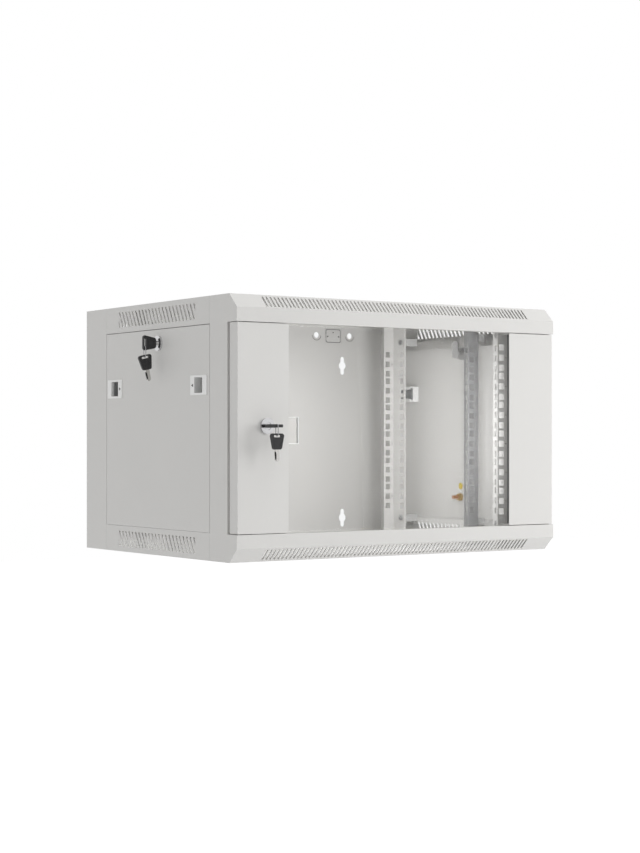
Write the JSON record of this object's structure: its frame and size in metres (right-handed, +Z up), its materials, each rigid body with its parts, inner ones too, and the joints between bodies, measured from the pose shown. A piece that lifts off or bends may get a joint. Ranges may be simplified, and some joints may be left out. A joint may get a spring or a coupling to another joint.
{
  "type": "wall mount network cabinet",
  "caption": "Wall mounted sheet steel cabinet for 19-inch equipment, with a lockable glass door, lift-off side panels, slotted vents and square-hole rails.",
  "frame": {"origin": "centre of the rear face that meets the wall", "axes": "+X to the right seen from the front, -Y out of the wall to the front, +Z up"},
  "size_m": [0.6078, 0.4785, 0.37],
  "materials": {
    "powder_coat": "fine light grey powder coat",
    "zinc_steel": "dull galvanised steel",
    "chrome": "polished chrome plating",
    "black_plastic": "moulded black plastic",
    "spring_steel": "bright drawn wire",
    "light_plastic": "light grey moulded plastic",
    "grey_plastic": "mid grey moulded plastic",
    "glass": "clear tempered safety glass",
    "foam_tape": "grey foam bonding tape",
    "nylon": "white nylon",
    "copper": "copper plated steel",
    "brass": "plain brass"
  },
  "bodies": {
    "root": {"top_front_beam": "powder_coat", "bottom_front_beam": "powder_coat", "front_post_left": "powder_coat", "front_post_right": "powder_coat", "roof_panel": "powder_coat", "floor_panel": "powder_coat", "roof_cable_cover": "powder_coat", "floor_cable_cover": "powder_coat", "rear_panel": "powder_coat", "front_rail_left": "powder_coat", "front_rail_right": "powder_coat", "middle_rail_left": "zinc_steel", "middle_rail_right": "zinc_steel", "rear_rail_left": "powder_coat", "rear_rail_right": "powder_coat", "rail_brackets_left": "zinc_steel", "rail_brackets_right": "zinc_steel", "rail_screws": "zinc_steel", "hinge_pins": "zinc_steel"},
    "door": {"door_left_band": "powder_coat", "door_right_band": "powder_coat", "door_glass": "glass", "glass_tapes": "foam_tape", "hinge_bushes": "nylon", "door_lock_barrel": "chrome", "door_lock_nut": "zinc_steel"},
    "door_lock": {"door_lock_plug": "chrome", "door_key": "black_plastic", "door_key_link": "spring_steel"},
    "door_spare_key": {"door_spare_key": "black_plastic"},
    "left_panel": {"left_side_panel": "powder_coat", "left_panel_lock_barrel": "chrome", "left_panel_lock_nut": "zinc_steel", "left_front_latch_bezel": "light_plastic", "left_rear_latch_bezel": "light_plastic"},
    "left_panel_lock": {"left_panel_lock_plug": "chrome", "left_panel_key": "black_plastic", "left_key_link": "spring_steel"},
    "left_spare_key": {"left_spare_key": "black_plastic"},
    "right_panel": {"right_side_panel": "powder_coat", "right_panel_lock_barrel": "chrome", "right_panel_lock_nut": "zinc_steel", "right_front_latch_bezel": "light_plastic", "right_rear_latch_bezel": "light_plastic", "earth_stud": "copper", "earth_nut_and_washer": "brass"},
    "right_panel_lock": {"right_panel_lock_plug": "chrome"},
    "left_front_latch": {"left_front_latch_slider": "grey_plastic"},
    "left_rear_latch": {"left_rear_latch_slider": "grey_plastic"},
    "right_front_latch": {"right_front_latch_slider": "grey_plastic"},
    "right_rear_latch": {"right_rear_latch_slider": "grey_plastic"}
  },
  "joints": [
    {"name": "door_hinge", "type": "hinge", "parent": "root", "child": "door", "pos_m": [0.277, -0.439, 0], "axis": [0, 0, 1], "range_deg": [0, 180]},
    {"name": "door_lock_turn", "type": "hinge", "parent": "door", "child": "door_lock", "pos_m": [-0.236, -0.449, 0.003], "axis": [0, 1, 0], "range_deg": [0, 90]},
    {"name": "door_spare_key_swing", "type": "hinge", "parent": "door_lock", "child": "door_spare_key", "pos_m": [-0.236, -0.4749, -0.01085], "axis": [0, 1, 0], "range_deg": [-28, 28]},
    {"name": "left_panel_lift_off", "type": "slide", "parent": "root", "child": "left_panel", "axis": [-1, 0, 0], "range_m": [0, 0.13]},
    {"name": "right_panel_lift_off", "type": "slide", "parent": "root", "child": "right_panel", "axis": [1, 0, 0], "range_m": [0, 0.13]},
    {"name": "left_panel_lock_turn", "type": "hinge", "parent": "left_panel", "child": "left_panel_lock", "pos_m": [-0.285, -0.232, 0.125], "axis": [1, 0, 0], "range_deg": [0, 90]},
    {"name": "left_spare_key_swing", "type": "hinge", "parent": "left_panel_lock", "child": "left_spare_key", "pos_m": [-0.3083, -0.232, 0.1039], "axis": [0, 1, 0], "range_deg": [-15, 40]},
    {"name": "right_panel_lock_turn", "type": "hinge", "parent": "right_panel", "child": "right_panel_lock", "pos_m": [0.285, -0.232, 0.125], "axis": [1, 0, 0], "range_deg": [0, 90]},
    {"name": "left_front_latch_slide", "type": "slide", "parent": "left_panel", "child": "left_front_latch", "axis": [0, 1, 0], "range_m": [0, 0.006], "stiffness_N_per_m": 400, "springref_m": -0.004},
    {"name": "left_rear_latch_slide", "type": "slide", "parent": "left_panel", "child": "left_rear_latch", "axis": [0, -1, 0], "range_m": [0, 0.006], "stiffness_N_per_m": 400, "springref_m": -0.004},
    {"name": "right_front_latch_slide", "type": "slide", "parent": "right_panel", "child": "right_front_latch", "axis": [0, 1, 0], "range_m": [0, 0.006], "stiffness_N_per_m": 400, "springref_m": -0.004},
    {"name": "right_rear_latch_slide", "type": "slide", "parent": "right_panel", "child": "right_rear_latch", "axis": [0, -1, 0], "range_m": [0, 0.006], "stiffness_N_per_m": 400, "springref_m": -0.004}
  ]
}
